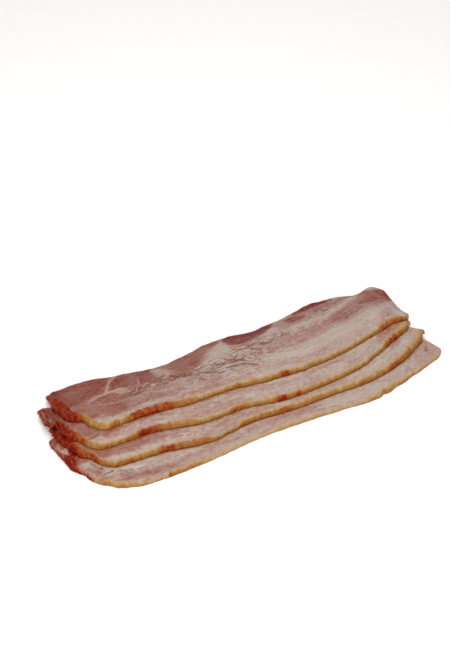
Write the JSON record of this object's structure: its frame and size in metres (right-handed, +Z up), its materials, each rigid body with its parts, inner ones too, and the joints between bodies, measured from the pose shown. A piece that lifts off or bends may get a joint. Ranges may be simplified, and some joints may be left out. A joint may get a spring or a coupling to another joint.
{
  "type": "sliced smoked bacon",
  "caption": "Rashers of smoked streaky bacon with the rind on, lying shingled on each other in a loose fan.",
  "frame": {"origin": "under the middle of the pile's box, on the surface that it lies on", "axes": "+X along the rashers towards their slanted tails, +Y from the rind edges to the lean edges, +Z up"},
  "size_m": [0.2762, 0.115, 0.0175],
  "materials": {
    "smoked_bacon": "moist cut meat, pale fat streaked with rose lean, with an orange-brown smoked rind along one edge"
  },
  "bodies": {
    "root": {"rasher_bottom": "smoked_bacon", "rasher_lower_middle": "smoked_bacon", "rasher_upper_middle": "smoked_bacon", "rasher_top": "smoked_bacon"}
  },
  "joints": []
}
